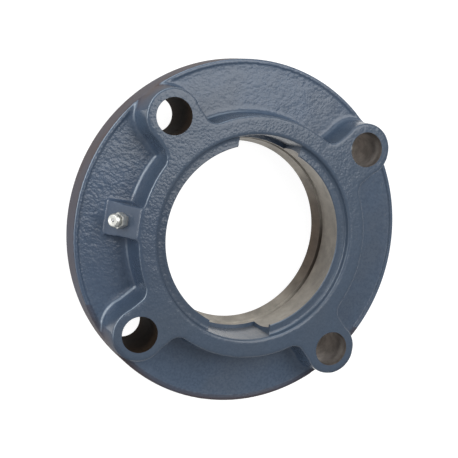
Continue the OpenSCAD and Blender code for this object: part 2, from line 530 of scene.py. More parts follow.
    def coarseness(self, tree: Tree, place: Value, normal: Value) -> Node:
        """How coarse the skin is: most in the left pocket, little on the right and on steep walls.

        Args:
            tree: The material's node tree.
            place: Object coordinates.
            normal: The surface's direction.

        Returns:
            The node that gives the share.
        """
        middle = placed(self.coarse_place)
        off = add_node(tree, "VectorMath", {0: place, 1: middle}, operation="DISTANCE")
        start, full = placed(self.coarse_span)
        pocket = add_node(tree, "MapRange", {0: off, 1: start, 2: full, 3: 0.0, 4: 0.13})
        across = add_node(tree, "VectorMath", {0: place, 1: self.coarse_way}, operation="DOT_PRODUCT")
        start, full = placed(self.spread_span)
        spread = add_node(tree, "MapRange", {0: across, 1: start, 2: full, 3: 0.02, 4: 0.13})
        sides = add_node(tree, "Math", {0: pocket, 1: spread}, operation="ADD")
        raised = self.raised(tree, place)
        coarse = add_node(tree, "Math", {0: raised, 1: 0.16, 2: sides}, operation="MULTIPLY_ADD")
        upright = add_node(tree, "SeparateXYZ", {"Vector": normal}).outputs[2]
        level = add_node(tree, "MapRange", {0: upright, 1: 0.85, 2: 0.98, 3: 0.1, 4: 1.0})
        return add_node(tree, "Math", {0: level, 1: coarse}, operation="MULTIPLY")

    def relief(self, tree: Tree, place: Value, normal: Value) -> Node:
        """The skin's pebbles, and its ripples, which are weak on the raised faces.

        Args:
            tree: The material's node tree.
            place: Object coordinates.
            normal: The surface's direction.

        Returns:
            The node that gives the bumped normal.
        """
        along = {"Vector": place, "Rotation": (0.0, 0.0, 0.6), "Scale": (0.8, 1.15, 1.0)}
        ripple = self.noise(tree, add_node(tree, "Mapping", along), self.ripple_mm)
        raised = self.raised(tree, place)
        calm = add_node(tree, "MapRange", {0: raised, 1: 0.3, 2: 0.55, 3: 1.0, 4: 0.3})
        wavy = add_node(tree, "Math", {0: ripple, 1: calm}, operation="MULTIPLY")
        cells = {"Vector": place, "Scale": 1000 / self.pebble_mm, "Smoothness": 0.5}
        pebbles = add_node(tree, "TexVoronoi", cells, feature="SMOOTH_F1")
        height = add_node(tree, "Math", {0: pebbles, 1: -0.3, 2: wavy}, operation="MULTIPLY_ADD")
        share = self.coarseness(tree, place, normal)
        bump = {"Height": height, "Strength": share, "Distance": metres(self.relief_mm)}
        return add_node(tree, "Bump", bump)

    def material(self) -> bpy.types.Material:
        """The enamel, on any of the casting's faces.

        Returns:
            The material.
        """
        material, tree = new_tree(self.name)
        place = add_node(tree, "TexCoord").outputs["Object"]
        normal = add_node(tree, "NewGeometry").outputs["Normal"]
        finish = {
            "Base Color": self.colour(tree, place, normal),
            "Roughness": self.roughness,
            "Specular IOR Level": self.specular,
            "Normal": self.relief(tree, place, normal),
        }
        add_node(tree, "OutputMaterial", {"Surface": add_node(tree, "BsdfPrincipled", finish)})
        return material


@dataclass(frozen=True)
class TurnedIron:
    """Bare machined grey iron: satin and clouded, with the tool's fine lines round it.

    It browns along an axis where it is never wiped, though in the holes this brown is painted shade and
    in the groove painted shadow, has a lighter tone at the left as a painted highlight, and is darker
    near the mouth of a hole, partly from overspray and partly as painted shade. The real tool lines are
    0.1 to 0.2 mm apart, too fine to show in the render, so they are drawn as coarse as they need to
    show. A span says where something begins and where it is full, in millimetres: the brown along its
    axis, the lighter tone giving way from left to right, and the darkening upwards.
    """

    name: str
    bright: str
    # Brown along an axis: real on the seat and the back, painted shade on the holes' left walls,
    # painted shadow in the groove.
    stain_and_shade_tone: str
    stain_and_shade_axis: int
    stain_and_shade_span: Span
    # A lighter tone, a painted highlight, at the left, the top and the bottom; it gives way from left
    # to right.
    lit_tone: str = "8E887E"
    lit_fade_span: Span = (-200.0, -199.0)
    # Darker near the mouth of a hole: partly overspray, partly painted shade.
    spray_and_shade_tone: str = "2A2119"
    spray_and_shade_span: Span = (90.0, 99.0)
    spray_and_shade_share: float = 0.85
    line_mm: float = 0.5
    cloud_mm: float = 9.0
    drift_mm: float = 1.5
    relief_mm: float = 0.12
    roughness: float = 0.42
    metallic: float = 0.6
    specular: float = 0.5

    def colour(self, tree: Tree, parts: Node, cloud: Node) -> Node:
        """The iron's colour: a lighter tone at the left as a painted highlight, brown along an axis
        (real on the seat and the back, painted shade in the holes, painted shadow in the groove),
        darker near a hole's mouth partly as painted shade, and clouds all over.

        Args:
            tree: The material's node tree.
            parts: The place's coordinates.
            cloud: The pattern of the clouds.

        Returns:
            The node that gives the colour.
        """
        # Brown along an axis: real on the seat and the back, painted shade in the holes, painted shadow
        # in the groove.
        ragged = {0: cloud, 1: metres(2 * self.drift_mm), 2: parts.outputs[self.stain_and_shade_axis]}
        shifted = add_node(tree, "Math", ragged, operation="MULTIPLY_ADD")
        start, full = placed([end + self.drift_mm for end in self.stain_and_shade_span])
        stain_and_shade_share = add_node(tree, "MapRange", {0: shifted, 1: start, 2: full, 3: 0.0, 4: 1.0})
        # Lighter tone at the left, a painted highlight.
        start, full = placed(self.lit_fade_span)
        side = add_node(tree, "MapRange", {0: parts.outputs[0], 1: start, 2: full, 3: 0.0, 4: 1.0})
        browned_and_shaded = add_node(tree, "Math", {0: stain_and_shade_share, 1: side}, operation="MULTIPLY")
        # Darker near the mouth: partly overspray, partly painted shade.
        start, full = placed(self.spray_and_shade_span)
        reach = {0: parts.outputs[2], 1: start, 2: full, 3: 0.0, 4: self.spray_and_shade_share}
        spray_and_shade = add_node(tree, "MapRange", reach)
        coat: Value = self.lit_tone
        for share, tint in ((side, self.bright), (browned_and_shaded, self.stain_and_shade_tone), (spray_and_shade, self.spray_and_shade_tone)):
            coat = add_node(tree, "Mix", {0: share, 6: coat, 7: tint}, data_type="RGBA")
        mottle = add_node(tree, "MapRange", {0: cloud, 1: 0.35, 2: 0.65, 3: 0.72, 4: 1.18})
        return add_node(tree, "VectorMath", {0: coat, 3: mottle}, operation="SCALE")

    def material(self) -> bpy.types.Material:
        """The iron, with its tool lines.

        Returns:
            The material.
        """
        material, tree = new_tree(self.name)
        place = add_node(tree, "TexCoord").outputs["Object"]
        parts = add_node(tree, "SeparateXYZ", {"Vector": place})
        tool = {"W": parts.outputs[2], "Scale": 1000 / self.line_mm, "Detail": 2.0}
        lines = add_node(tree, "TexNoise", tool, noise_dimensions="1D")
        wide = {"Vector": place, "Scale": 1000 / self.cloud_mm, "Detail": 5.0, "Roughness": 0.65}
        cloud = add_node(tree, "TexNoise", wide)
        both = add_node(tree, "Math", {0: cloud, 1: 0.35, 2: lines}, operation="MULTIPLY_ADD")
        bump = {"Height": both, "Strength": 0.3, "Distance": metres(self.relief_mm)}
        finish = {
            "Base Color": self.colour(tree, parts, cloud),
            "Specular IOR Level": self.specular,
            "Metallic": self.metallic,
            "Roughness": self.roughness,
            "Normal": add_node(tree, "Bump", bump),
        }
        add_node(tree, "OutputMaterial", {"Surface": add_node(tree, "BsdfPrincipled", finish)})
        return material


@dataclass(frozen=True)
class SmallSteel:
    """Steel of a small piece: a bright skin that breaks into dull spots, and so looks used, not new."""

    name: str
    colour: str
    dull: str
    spot_mm: float
    roughness: float
    metallic: float = 0.9
    relief_mm: float = 0.05

    def material(self) -> bpy.types.Material:
        """The steel, with its dull spots.

        Returns:
            The material.
        """
        material, tree = new_tree(self.name)
        place = add_node(tree, "TexCoord").outputs["Object"]
        noise = {"Vector": place, "Scale": 1000 / self.spot_mm, "Detail": 4.0, "Roughness": 0.65}
        spots = add_node(tree, "TexNoise", noise)
        share = add_node(tree, "MapRange", {0: spots, 1: 0.45, 2: 0.75, 3: 0.0, 4: 1.0})
        bump = {"Height": spots, "Strength": 0.2, "Distance": metres(self.relief_mm)}
        colours = {0: share, 6: self.colour, 7: self.dull}
        finish = {
            "Base Color": add_node(tree, "Mix", colours, data_type="RGBA"),
            "Metallic": self.metallic,
            "Roughness": self.roughness,
            "Normal": add_node(tree, "Bump", bump),
        }
        add_node(tree, "OutputMaterial", {"Surface": add_node(tree, "BsdfPrincipled", finish)})
        return material


@dataclass
class CastHousing:
    """The one-piece casting: rough blank, cast skin, then the cuts of the lathe and the drill.

    Sizes are in millimetres. The blank carries `stock` where it is machined, its forms go `overlap`
    deep into one another, a cutter stands `clear` of the casting, and `grid` is the skin's fineness.
    """

    flange_r: float = 89.6
    floor_z: float = 13.8
    bead_w: float = 2.4
    bead_h: float = 0.7
    bead_round: float = 1.1
    bead_clear: float = 18.5
    dull_shaded_bead_y: float = -44.0
    top_z: float = 31.0
    ring_r: float = 61.2
    ring_foot_r: float = 62.1
    recess_r: float = 51.8
    lip_z: float = 27.7
    bolt_circle_r: float = 75.0
    boss_r: float = 13.5
    boss_foot_r: float = 14.4
    arm_inset: float = 0.5
    bolt_hole_r: float = 8.87
    pad_top_r: float = 61.4
    pad_angle: float = 52.0
    pad_half: float = 7.7
    pad_foot_half: float = 8.6
    nipple_z: float = 22.4
    spigot_r: float = 62.5
    spigot_z: float = -12.0
    relief_r: float = 54.5
    seat_r: float = 50.0
    seat_z: float = 13.0
    seat_front_z: float = 25.7
    seat_rear_z: float = -3.0
    lip_r: float = 46.9
    slot_w: float = 34.0
    slot_end_z: float = 7.6
    groove_z: float = 5.0
    groove_w: float = 2.6
    groove_depth: float = 1.3
    draft: float = 0.5
    stock: float = 1.5
    overlap: float = 4.0
    clear: float = 5.0
    skin_level: float = 0.35
    grid: float = 0.68
    fillet: float = 3.2
    corner_r: float = 6.5
    steps: int = 192
    hole_steps: int = 96
    duct_steps: int = 48
    sand: tuple[tuple[float, float], ...] = ((8.0, 0.18), (2.6, 0.13))
    bolt_angles: tuple[float, ...] = (45.0, 135.0, 225.0, 315.0)

    @cached_property
    def hole_places(self) -> list[Point]:
        """Plan places of the four bolt holes."""
        turns = [math.radians(angle) for angle in self.bolt_angles]
        return [(self.bolt_circle_r * math.cos(a), self.bolt_circle_r * math.sin(a)) for a in turns]

    @property
    def nipple_x(self) -> float:
        """Distance of the nipple's foot from the bore axis, to the left."""
        return -(self.pad_top_r + (self.top_z - self.nipple_z) / math.tan(math.radians(self.pad_angle)))

    def ring_blank(self) -> Piece:
        """Flange, bead, ring, recess and spigot in one turned ring, with stock where it is cut.

        Returns:
            The turned ring.
        """
        top_r, bead_z = self.flange_r - self.draft, self.floor_z + self.bead_h
        return turned(
            "ring_blank",
            [
                (self.lip_r - self.stock, self.spigot_z - self.stock),
                (self.spigot_r + self.stock, self.spigot_z - self.stock),
                (self.spigot_r + self.stock, -self.stock),
                (self.flange_r, -self.stock),
                *arc((top_r - self.bead_round, bead_z - self.bead_round), self.bead_round, 0, 90, 4),
                (top_r - self.bead_w + 0.4, bead_z - 0.1),
                (top_r - self.bead_w, self.floor_z),
                *self.foot(self.ring_foot_r),
                (self.ring_r, self.top_z),
                (self.recess_r + 0.9, self.top_z),
                (self.recess_r + 0.1, self.top_z - 0.8),
                (self.recess_r, self.lip_z),
                (self.lip_r - self.stock, self.lip_z),
            ],
            self.steps,
            closed=True,
        )

    def foot(self, wall: float) -> list[Point]:
        """Corners of the fillet from the flange's floor up to a wall.

        Args:
            wall: Where the wall would meet the floor.

        Returns:
            Distance and height of each corner, from the floor up.
        """
        return arc((wall + self.fillet, self.floor_z + self.fillet), self.fillet, 270, 183, 5)

    def boss_blank(self) -> Piece:
        """One bolt boss, on the right-hand side of the flange, cut off at the rim.

        Returns:
            The boss.
        """
        low = self.floor_z - self.overlap
        reach = self.boss_foot_r + self.fillet
        side = [*self.foot(self.boss_foot_r), (self.boss_r, self.top_z)]
        profile = [(0, low), (reach, low), *side, (0, self.top_z)]
        centred = turned("boss_centred", profile, self.hole_steps, closed=False)
        boss = copy_at(centred, "boss_blank", Matrix.Translation(placed((self.bolt_circle_r, 0, 0))))
        bpy.data.objects.remove(centred)
        high = self.top_z + self.clear
        limit = [(0, 0), (self.flange_r - 0.35, 0), (self.flange_r - 0.75, high), (0, high)]
        cut(boss, turned("rim_limit", limit, self.steps, closed=False), "INTERSECT")
        return boss

    def arm_blank(self) -> Piece:
        """One arm from the ring to its boss, on the right-hand side, with drafted flanks.

        Returns:
            The arm.
        """
        low = self.floor_z - self.overlap
        inner = self.recess_r + self.overlap
        half = self.boss_foot_r - self.arm_inset
        side = [(half + self.fillet, low), *self.foot(half), (self.boss_r - self.arm_inset, self.top_z)]
        section = side + [(-y, z) for y, z in reversed(side)]
        outline = [(inner, y, z) for y, z in section]
        return prism("arm_blank", outline, (self.bolt_circle_r - inner, 0, 0))

    def corner_blank(self) -> Piece:
        """The filler that rounds the corner between the ring and an arm, on the arm's +Y side.

        Returns:
            The filler.
        """
        half = self.boss_r - self.arm_inset
        out = math.sqrt((self.ring_r + self.corner_r) ** 2 - (half + self.corner_r) ** 2)
        centre = (out, half + self.corner_r)
        touch = math.degrees(math.atan2(-centre[1], -centre[0]))
        curve = arc(centre, self.corner_r, touch, -90, 6)
        low = self.floor_z - self.overlap
        outline = [(x, y, low) for x, y in ((self.ring_r - 6, half - 2), *curve, (out, half - 2))]
        return prism("corner_blank", outline, (0, 0, self.top_z - low))

    def pad_blank(self) -> Piece:
        """The wedge that carries the nipple, with drafted sides.

        Returns:
            The wedge.
        """
        low = self.floor_z - self.overlap
        slope = math.tan(math.radians(self.pad_angle))
        outer_low = self.pad_top_r + (self.top_z - low) / slope
        inner = self.recess_r + self.overlap
        bpy.ops.object.select_all(action="DESELECT")
        middle = (-(inner + outer_low) / 2, 0, (self.top_z + low) / 2)
        bpy.ops.mesh.primitive_cube_add(size=1, location=placed(middle))
        obj = bpy.context.object
        obj.scale = placed((outer_low - inner, 2 * self.pad_foot_half, self.top_z - low))
        settle(obj, "pad_blank")
        select_vertices(obj, lambda v, _: v.z > self.floor_z)
        draft = self.pad_half / self.pad_foot_half
        bpy.ops.transform.resize(value=(1, draft, 1), center_override=(0, 0, 0))
        bpy.ops.object.mode_set(mode="OBJECT")
        select_vertices(obj, lambda v, _: v.z > self.floor_z and v.x < -(inner + SMALL_MM))
        bpy.ops.transform.translate(value=placed((outer_low - self.pad_top_r, 0, 0)))
        bpy.ops.object.mode_set(mode="OBJECT")
        return obj

    def cast_blank(self) -> Piece:
        """All the cast forms fused, with rounded edges, filleted feet and an uneven skin.

        Returns:
            The casting before it is machined.
        """
        masters = [self.boss_blank(), self.arm_blank(), self.corner_blank()]
        mirrored = copy_at(masters[2], "corner_mirrored", Matrix.Scale(-1, 4, (0, 1, 0)))
        close_up(mirrored)
        masters.append(mirrored)
        pieces = [self.ring_blank(), self.pad_blank()]
        for number, angle in enumerate(self.bolt_angles):
            turn = Matrix.Rotation(math.radians(angle), 4, "Z")
            pieces += [copy_at(master, f"{master.name}_{number}", turn) for master in masters]
        for master in masters:
            bpy.data.objects.remove(master)
        blank = join(pieces, "cast_blank")
        grid = metres(self.grid)
        apply_modifier(blank, "REMESH", mode="VOXEL", voxel_size=grid, use_smooth_shade=True)
        self.soften(blank)
        self.roughen(blank)
        return blank

    def soften(self, blank: Piece) -> None:
        """Rounds the forms as cast ones are, and keeps the bead at the flange's edge crisp.

        Args:
            blank: The fused forms.
        """
        near_rim = self.flange_r - self.bead_w - 2.5

        def by_bead(v: Vector, normal: Vector) -> bool:
            """Whether a place is on the bead or the rim, clear of the bosses."""
            low = v.z < self.floor_z + 1.2
            return low and math.hypot(v.x, v.y) > near_rim and self.boss_reach(v) > self.bead_clear

        def raised(v: Vector, normal: Vector) -> bool:
            """Whether a place is on the ring, an arm, a boss or the pad, well above the floor."""
            return v.z > self.floor_z + self.fillet + 1 and math.hypot(v.x, v.y) > self.recess_r + 2.5

        def inner(v: Vector, normal: Vector) -> bool:
            """Whether a place isn't on the bead."""
            return not by_bead(v, normal)

        for name, test in {"inner": inner, "raised": raised, "bead": by_bead}.items():
            select_vertices(blank, test)
            blank.vertex_groups.new(name=name)
            bpy.ops.object.vertex_group_assign()
            bpy.ops.object.mode_set(mode="OBJECT")
        apply_modifier(blank, "SMOOTH", factor=0.5, iterations=3, vertex_group="inner")
        apply_modifier(blank, "SMOOTH", factor=0.5, iterations=8, vertex_group="raised")
        guide = self.ring_blank()
        apply_modifier(blank, "SHRINKWRAP", target=guide, vertex_group="bead")
        bpy.data.objects.remove(guide)
        skin = blank.vertex_groups.new(name="skin")
        for vertex in blank.data.vertices:
            place, level = vertex.co * 1000, vertex.normal.z
            inside = math.hypot(place.x, place.y) < self.lip_r + 1.2
            if level > self.skin_level and not inside and not by_bead(place, vertex.normal):
                skin.add([vertex.index], min(1.0, (level - self.skin_level) / 0.5), "REPLACE")

    def boss_reach(self, place: Vector) -> float:
        """Distance of a place from the axis of the nearest bolt hole, in plan."""
        return min(math.hypot(place.x - x, place.y - y) for x, y in self.hole_places)

    def roughen(self, blank: Piece) -> None:
        """Moves the skin in and out, as a sand mould leaves it, by the widths and depths in `sand`.

        Args:
            blank: The fused and softened forms.
        """
        for size, depth in self.sand:
            texture = bpy.data.textures.new(f"sand_{size}", "CLOUDS")
            texture.noise_scale = metres(size)
            texture.noise_depth = 1
            settings = {"texture_coords": "LOCAL", "mid_level": 0.8, "vertex_group": "skin"}
            apply_modifier(blank, "DISPLACE", texture=texture, strength=metres(depth), **settings)

    def back_cutter(self) -> Piece:
        """What the lathe takes off the back, round the spigot and below it.

        Returns:
            The cutter.
        """
        far, deep = self.flange_r + 2 * self.clear, self.spigot_z - 2 * self.clear
        return turned(
            "back_cutter",
            [
                (0, deep),
                (far, deep),
                (far, 0),
                (self.spigot_r, 0),
                (self.spigot_r, self.spigot_z + 1),
                (self.spigot_r - 1, self.spigot_z),
                (0, self.spigot_z),
            ],
            self.steps,
            closed=False,
        )

    def sphere_r(self, z: float) -> float:
        """Radius of the spherical seat at a height."""
        return math.sqrt(self.seat_r**2 - (z - self.seat_z) ** 2)

    def bore_cutter(self) -> Piece:
        """What the lathe takes out of the bore: relief, seat, grease groove and lip.

        Returns:
            The cutter.
        """
        low, high = self.groove_z - self.groove_w / 2, self.groove_z + self.groove_w / 2
        bottom = self.sphere_r(self.groove_z) + self.groove_depth

        def seat(start: float, end: float, count: int) -> list[Point]:
            """Corners of the seat between two heights."""
            heights = [start + (end - start) * i / count for i in range(count + 1)]
            return [(self.sphere_r(z), z) for z in heights]

        return turned(
            "bore_cutter",
            [
                (0, self.spigot_z - self.clear),
                (self.relief_r, self.spigot_z - self.clear),
                (self.relief_r, self.seat_rear_z),
                *seat(self.seat_rear_z, low, 4),
                (bottom, low + 0.3),
                (bottom, high - 0.3),
                *seat(high, self.seat_front_z, 12),
                (self.lip_r, self.seat_front_z),
                (self.lip_r, self.lip_z - 0.5),
                (self.lip_r + 0.4, self.lip_z - 0.1),
                (self.lip_r + 0.4, self.top_z + self.clear),
                (0, self.top_z + self.clear),
            ],
            self.steps,
            closed=False,
        )

    def slot_cutter(self) -> Piece:
        """The two slots through the lip that let the bearing in.

        Returns:
            The cutter.
        """
        bpy.ops.object.select_all(action="DESELECT")
        high = self.lip_z + 1.5
        bpy.ops.mesh.primitive_cylinder_add(
            vertices=self.steps,
            radius=metres(self.recess_r),
            depth=metres(high - self.slot_end_z),
            location=placed((0, 0, (high + self.slot_end_z) / 2)),
        )
        obj = settle(bpy.context.object, "slot_cutter")
        for side in (-1, 1):
            bpy.ops.object.mode_set(mode="EDIT")
            bpy.ops.mesh.select_all(action="SELECT")
            plane = placed((side * self.slot_w / 2, 0, 0))
            bpy.ops.mesh.bisect(plane_co=plane, plane_no=(side, 0, 0), use_fill=True, clear_outer=True)
            bpy.ops.object.mode_set(mode="OBJECT")
        return obj

    def hole_cutters(self) -> Iterable[Piece]:
        """The drill's way through each boss, and the tapped hole and duct under the nipple.

        Yields:
            The cutters.
        """
        drill = turned(
            "drill",
            [
                (0, -self.clear),
                (self.bolt_hole_r, -self.clear),
                (self.bolt_hole_r, self.top_z - 0.4),
                (self.bolt_hole_r + 0.15, self.top_z - 0.2),
                (self.bolt_hole_r + 0.15, self.top_z + self.clear),
                (0, self.top_z + self.clear),
            ],
            self.hole_steps,
            closed=False,
        )
        for number, angle in enumerate(self.bolt_angles):
            turn = Matrix.Rotation(math.radians(angle), 4, "Z")
            out = Matrix.Translation(placed((self.bolt_circle_r, 0, 0)))
            yield copy_at(drill, f"drill_{number}", turn @ out)
        bpy.data.objects.remove(drill)
        duct = [(0, -27), (2.5, -27), (2.5, -6.5), (3.03, -6.0), (3.03, 4), (0, 4)]
        tap = turned("tap", duct, self.duct_steps, closed=False)
        yield copy_at(tap, "tap_cutter", nipple_place(self))
        bpy.data.objects.remove(tap)

    def surface_at(self, centre: Vector, normal: Vector) -> Surface:
        """Says which finish a face has.

        Args:
            centre: The middle of the face, millimetres.
            normal: Its direction.

        Returns:
            The finish.
        """
        radius = math.hypot(centre.x, centre.y)
        if self.boss_reach(centre) < self.bolt_hole_r + 0.12:
            return Surface.HOLE
        if centre.z < SMALL_MM and (radius < self.spigot_r + SMALL_MM or normal.z < -0.9):
            in_seat = centre.z > self.seat_rear_z + SMALL_MM and radius < self.relief_r - 2
            return Surface.SEAT if in_seat else Surface.BACK
        in_bore = radius < self.relief_r - SMALL_MM and centre.z < self.groove_z + self.groove_w
        if in_bore and radius > self.sphere_r(centre.z) + 0.08:
            return Surface.GROOVE
        # Low on the flange the bead takes the rim's dull finish; its brown there is painted shade.
        dull_shaded_bead = radius > self.flange_r - self.bead_w - 1.0 and centre.y < self.dull_shaded_bead_y
        if dull_shaded_bead or (radius > self.flange_r - 4 and normal.z < 0.4):
            return Surface.RIM
        if radius > self.recess_r + 0.1 or centre.z > self.lip_z - 0.35 or normal.z > 0.9:
            return Surface.PAINT
        if radius > self.seat_r + 0.2 and centre.z > self.slot_end_z:
            return Surface.SLOT
        if abs(normal.x) > 0.98 and abs(abs(centre.x) - self.slot_w / 2) < 0.1:
            return Surface.PAINT
        return Surface.SEAT

    def finishes(self) -> dict[Surface, Union[PaintedCasting, TurnedIron]]:
        """The finish of each kind of face.

        Returns:
            The finishes.
        """
        return {
            Surface.PAINT: PaintedCasting(),
            # Satin grey in front and brown behind; a lighter tone without the brown at the left, the
            # top and the bottom, a painted highlight.
            Surface.SEAT: TurnedIron(
                name="turned_iron_seat",
                bright="706A61",
                stain_and_shade_tone="4A3F35",
                stain_and_shade_axis=2,
                stain_and_shade_span=(9.0, 3.0),
                lit_fade_span=(32.0, 48.0),
            ),
            # Plain turned grey on the mounting face, a little browner towards the spigot's end.
            Surface.BACK: TurnedIron(
                name="turned_iron_back",
                bright="7E7A75",
                stain_and_shade_tone="5E554E",
                stain_and_shade_axis=2,
                stain_and_shade_span=(-7.0, -14.0),
                roughness=0.5,
            ),
            # Dull drilled walls: light grey on the right, dark brown painted shade on the left, and
            # darker at the mouth, partly overspray and partly painted shade.
            Surface.HOLE: TurnedIron(
                name="drilled_iron",
                bright="C8C1BB",
                stain_and_shade_tone="261A10",
                stain_and_shade_axis=0,
                stain_and_shade_span=(20.0, -20.0),
                spray_and_shade_span=(15.0, 29.0),
                line_mm=0.9,
                cloud_mm=5.0,
                roughness=0.75,
                metallic=0.0,
                specular=0.06,
            ),
            # Painted shadow darkens the groove's lower right, which gives the seat its dark line.
            Surface.GROOVE: TurnedIron(
                name="shadowed_groove_iron",
                bright="A09A90",
                stain_and_shade_tone="403830",
                stain_and_shade_axis=1,
                stain_and_shade_span=(22.0, 2.0),
                lit_tone="A8A298",
                lit_fade_span=(34.0, 47.0),
                roughness=0.6,
                metallic=0.2,
            ),
            # Paint that hardly took on the milled slots: grey, with little blue left in it.
            Surface.SLOT: PaintedCasting(
                name="thin_enamel_on_milled_iron", paint="5A616B", thin_paint="6A6A6A", thin_share=1.0
            ),
            # The rim's enamel is dull and brown, so it stays dark beside the glossy front; on the bead
            # low on the flange that brown is painted shade.
            Surface.RIM: PaintedCasting(
                name="dull_turned_rim", rim_share=1.0, roughness=0.6, specular=0.15
            ),
        }

    def finish_faces(self, obj: Piece) -> None:
        """Gives each face its finish, by its place.

        Args:
            obj: The machined casting.
        """
        finishes = self.finishes()
        obj.data.materials.clear()
        for surface in Surface:
            obj.data.materials.append(finishes[surface].material())
        for face in obj.data.polygons:
            face.material_index = self.surface_at(face.center * 1000, face.normal).value

    def build(self) -> Piece:
        """Casts, machines and paints the housing.

        Returns:
            The piece that stands for the CAD node.
        """
        obj = self.cast_blank()
        turning = (self.back_cutter(), self.bore_cutter())
        for cutter in (*turning, self.slot_cutter(), *self.hole_cutters()):
            cut(obj, cutter)
        obj.vertex_groups.clear()
        self.finish_faces(obj)
        activate(obj)
        bpy.ops.object.shade_smooth_by_angle(angle=ROUND_ANGLE)
        settle(obj, "housing_casting")
        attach(obj, "casting")
        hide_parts("housing")
        return obj


def nipple_place(casting: CastHousing) -> Matrix:
    """Where the nipple's foot is on the pad: its axis becomes +Z."""
    turn = Matrix.Rotation(-math.radians(casting.pad_angle), 4, "Y")
    return Matrix.Translation(placed((casting.nipple_x, 0, casting.nipple_z))) @ turn


@dataclass
class GreaseNipple:
    """A straight nipple: hexagon, neck and button head, with a check ball and its spring.

    Sizes are in millimetres, and heights are along its axis, from the pad.
    """

    casting: CastHousing
    shank_r: float = 3.0
    shank_l: float = 5.5
    ledge_h: float = 0.6
    duct_r: float = 0.8
    thread_pitch: float = 1.0
    thread_d: float = 0.45
    hex_w: float = 7.0
    hex_h: float = 4.2
    hex_turn: float = -24.0
    core_h: float = 6.0
    neck_r: float = 2.3
    neck_l: float = 0.9
    grip_h: float = 0.5
    band_h: float = 1.1
    head_r: float = 3.4
    tip_r: float = 2.5
    height: float = 7.6
    bore_r: float = 1.35
    mouth_r: float = 0.85
    mouth_l: float = 0.35
    cone_angle: float = 45.0
    ball_r: float = 1.2
    wire_r: float = 0.16
    spring_r: float = 1.04
    spring_turns: int = 8
    travel: float = 0.9
    touch_gap: float = 0.02
    steps: int = 64
    cut_steps: int = 48
    wire_steps: int = 10
    coil_steps: int = 24

    @property
    def ledge_z(self) -> float:
        """Height of the ledge in the bore that the spring stands on."""
        return -self.shank_l + self.ledge_h

    @property
    def ball_z(self) -> float:
        """Height of the ball's centre where it rests on its cone."""
        reach = self.ball_r / math.sin(math.radians(self.cone_angle)) - self.mouth_r
        return self.height - self.mouth_l - reach - self.touch_gap

    def shell(self) -> Piece:
        """Shank, neck, head and bore, turned in one, with softened corners.

        Returns:
            The turned piece.
        """
        thread: list[Point] = []
        z = -self.shank_l + self.thread_pitch / 2
        while z < -0.9:
            thread += [(self.shank_r - self.thread_d, z), (self.shank_r, z + self.thread_pitch / 2)]
            z += self.thread_pitch
        head = self.hex_h + self.neck_l
        band = head + self.grip_h
        return turned(
            "nipple_shell",
            [
                (self.duct_r, -self.shank_l),
                (self.shank_r - 0.6, -self.shank_l),
                *thread,
                (self.shank_r - self.thread_d, -0.5),
                (self.neck_r, 0.2),
                (self.neck_r, head - 0.25),
                *arc((self.neck_r + 0.25, head - 0.25), 0.25, 180, 90, 3),
                *arc((self.head_r - 0.25, band + 0.2), 0.25, 300, 360, 3),
                *arc((self.head_r - 0.4, band + self.band_h - 0.3), 0.4, 0, 25, 2),
                *arc((self.tip_r - 0.1, self.height - 0.5), 0.5, 35, 80, 4),
                (self.tip_r - 0.5, self.height - 0.04),
                (self.mouth_r + 0.5, self.height - 0.25),
                (self.mouth_r, self.height - 0.28),
                (self.mouth_r, self.height - self.mouth_l),
                (self.bore_r, self.height - self.mouth_l - (self.bore_r - self.mouth_r)),
                (self.bore_r, self.ledge_z),
                (self.duct_r, self.ledge_z),
            ],
            self.steps,
            closed=True,
        )

    def hexagon(self) -> Piece:
        """The hexagon, with its corners turned down at the top.

        Returns:
            The hexagon, with a way through for the bore.
        """
        corner = self.hex_w / 2 / math.cos(math.radians(30))
        bpy.ops.object.select_all(action="DESELECT")
        bpy.ops.mesh.primitive_cylinder_add(
            vertices=6,
            radius=metres(corner),
            depth=metres(self.hex_h),
            location=placed((0, 0, self.hex_h / 2)),
            rotation=(0, 0, math.radians(self.hex_turn + 90)),
        )
        obj = settle(bpy.context.object, "nipple_hexagon")
        dome = turned(
            "hex_dome",
            [
                (0, -1),
                (corner + 0.2, -1),
                (corner + 0.2, self.hex_h - 0.75),
                (corner - 0.1, self.hex_h - 0.5),
                (self.hex_w / 2 - 0.15, self.hex_h - 0.02),
                (0, self.hex_h - 0.02),
            ],
            self.cut_steps,
            closed=False,
        )
        cut(obj, dome, "INTERSECT")
        core_r = self.neck_r - 0.3
        core = [(0, -2), (core_r, -2), (core_r, self.core_h), (0, self.core_h)]
        cut(obj, turned("hex_core", core, self.cut_steps, closed=False))
        apply_modifier(obj, "BEVEL", width=metres(0.12), segments=2, limit_method="ANGLE")
        return obj

    def body(self) -> Piece:
        """The nipple's body in its place on the pad.

        Returns:
            The piece that stands for the CAD node.
        """
        loose = join([self.shell(), self.hexagon()], "nipple_loose")
        obj = copy_at(loose, "grease_nipple", nipple_place(self.casting))
        bpy.data.objects.remove(loose)
        obj.data.materials.clear()
        # Zinc is bright and slightly warm; painted shade in the neck sets the head off from the
        # hexagon.
        for skin in (
            SmallSteel("zinc_plated_steel", "D6D6D0", "A3A29A", 1.6, roughness=0.3, metallic=0.8),
            SmallSteel("neck_painted_shade", "3B3A34", "23221E", 1.0, roughness=0.5, metallic=0.3),
        ):
            obj.data.materials.append(skin.material())
        # The neck's faces get the dark material: painted shade between the head and the hexagon.
        low, high = metres(self.hex_h + 0.05), metres(self.hex_h + self.neck_l + 0.1)
        to_pad = nipple_place(self.casting).inverted()
        for face in obj.data.polygons:
            height = (to_pad @ face.center).z
            face.material_index = int(low < height < high)
        activate(obj)
        bpy.ops.object.shade_smooth_by_angle(angle=ROUND_ANGLE)
        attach(obj, "casting")
        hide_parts("nipple_body")
        return obj

